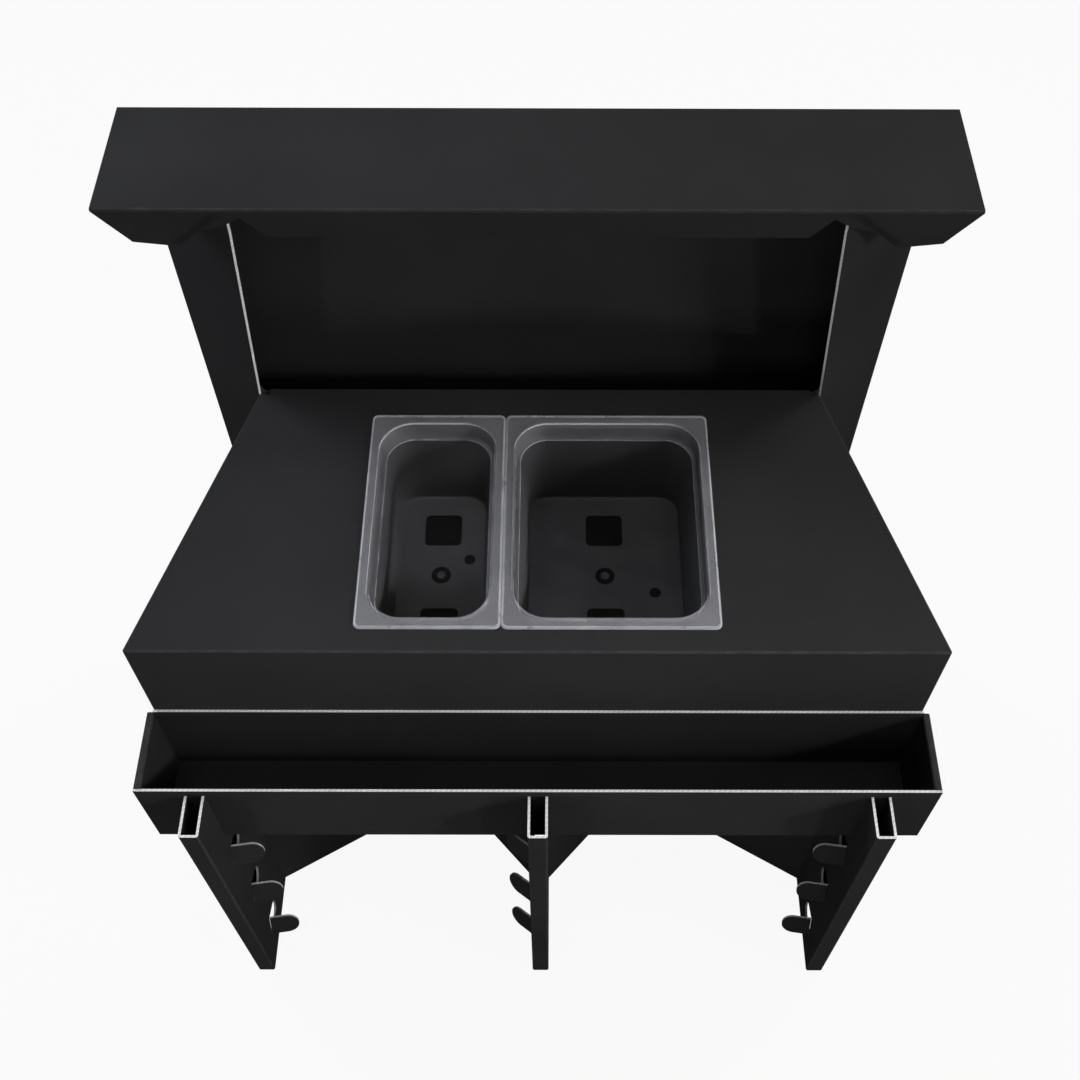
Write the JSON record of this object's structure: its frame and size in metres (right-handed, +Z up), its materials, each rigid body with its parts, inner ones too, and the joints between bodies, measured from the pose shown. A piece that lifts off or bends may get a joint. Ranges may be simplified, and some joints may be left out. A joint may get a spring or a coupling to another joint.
{
  "type": "portable bar",
  "caption": "Knock-down drinks counter of folded black board with a raised guest shelf, a worktop that holds food pans, a bottle rail and channel legs with fold-out tabs.",
  "frame": {"origin": "on the floor, under the middle of the bar's bounding box", "axes": "+Z up, +Y from the bartender towards the guests, +X to the bartender's right"},
  "size_m": [1, 0.6904, 1.092],
  "materials": {
    "black_board": "matte printed board with pale raw edges",
    "frosted_pan": "translucent moulded polypropylene"
  },
  "bodies": {
    "stand": {"tower_front_panel": "black_board", "tower_rear_panel": "black_board", "tower_wing_left": "black_board", "tower_wing_right": "black_board", "base_side_left": "black_board", "base_side_right": "black_board", "pleat_left_outer": "black_board", "pleat_left_inner": "black_board", "pleat_right_inner": "black_board", "pleat_right_outer": "black_board", "leg_left": "black_board", "leg_middle": "black_board", "leg_right": "black_board"},
    "shelf": {"top_shelf": "black_board"},
    "worktop": {"worktop_tray": "black_board"},
    "bottle_rail": {"bottle_rail_tray": "black_board", "bottle_rail_end_left": "black_board", "bottle_rail_end_right": "black_board"},
    "third_pan": {"pan_third": "frosted_pan"},
    "half_pan": {"pan_half": "frosted_pan"},
    "leg_left_low_flap": {"leg_left_tab_low": "black_board"},
    "leg_left_middle_flap": {"leg_left_tab_middle": "black_board"},
    "leg_left_high_flap": {"leg_left_tab_high": "black_board"},
    "leg_middle_low_flap": {"leg_middle_tab_low": "black_board"},
    "leg_middle_middle_flap": {"leg_middle_tab_middle": "black_board"},
    "leg_middle_high_flap": {"leg_middle_tab_high": "black_board"},
    "leg_right_low_flap": {"leg_right_tab_low": "black_board"},
    "leg_right_middle_flap": {"leg_right_tab_middle": "black_board"},
    "leg_right_high_flap": {"leg_right_tab_high": "black_board"}
  },
  "joints": [
    {"name": "shelf_lift", "type": "slide", "parent": "stand", "child": "shelf", "axis": [0, 0, 1], "range_m": [0, 0.1]},
    {"name": "worktop_lift", "type": "slide", "parent": "stand", "child": "worktop", "axis": [0, 0, 1], "range_m": [0, 0.03]},
    {"name": "bottle_rail_lift", "type": "slide", "parent": "stand", "child": "bottle_rail", "axis": [0, 0, 1], "range_m": [0, 0.14]},
    {"name": "third_pan_lift", "type": "slide", "parent": "worktop", "child": "third_pan", "axis": [0, 0, 1], "range_m": [0, 0.16]},
    {"name": "half_pan_lift", "type": "slide", "parent": "worktop", "child": "half_pan", "axis": [0, 0, 1], "range_m": [0, 0.16]},
    {"name": "leg_left_tab_low_crease", "type": "hinge", "parent": "stand", "child": "leg_left_low_flap", "pos_m": [-0.414, -0.29916, 0.07], "axis": [0, 0.3363, 0.9417], "range_deg": [-10, 80]},
    {"name": "leg_left_tab_middle_crease", "type": "hinge", "parent": "stand", "child": "leg_left_middle_flap", "pos_m": [-0.414, -0.29916, 0.22], "axis": [0, 0.3363, 0.9417], "range_deg": [-10, 80]},
    {"name": "leg_left_tab_high_crease", "type": "hinge", "parent": "stand", "child": "leg_left_high_flap", "pos_m": [-0.414, -0.29916, 0.37], "axis": [0, 0.3363, 0.9417], "range_deg": [-10, 80]},
    {"name": "leg_middle_tab_low_crease", "type": "hinge", "parent": "stand", "child": "leg_middle_low_flap", "pos_m": [-0.0125, -0.29916, 0.07], "axis": [0, -0.3363, -0.9417], "range_deg": [-42, 48]},
    {"name": "leg_middle_tab_middle_crease", "type": "hinge", "parent": "stand", "child": "leg_middle_middle_flap", "pos_m": [-0.0125, -0.29916, 0.22], "axis": [0, -0.3363, -0.9417], "range_deg": [-42, 48]},
    {"name": "leg_middle_tab_high_crease", "type": "hinge", "parent": "stand", "child": "leg_middle_high_flap", "pos_m": [-0.0125, -0.29916, 0.37], "axis": [0, -0.3363, -0.9417], "range_deg": [-42, 48]},
    {"name": "leg_right_tab_low_crease", "type": "hinge", "parent": "stand", "child": "leg_right_low_flap", "pos_m": [0.414, -0.29916, 0.07], "axis": [0, -0.3363, -0.9417], "range_deg": [-10, 80]},
    {"name": "leg_right_tab_middle_crease", "type": "hinge", "parent": "stand", "child": "leg_right_middle_flap", "pos_m": [0.414, -0.29916, 0.22], "axis": [0, -0.3363, -0.9417], "range_deg": [-10, 80]},
    {"name": "leg_right_tab_high_crease", "type": "hinge", "parent": "stand", "child": "leg_right_high_flap", "pos_m": [0.414, -0.29916, 0.37], "axis": [0, -0.3363, -0.9417], "range_deg": [-10, 80]}
  ]
}
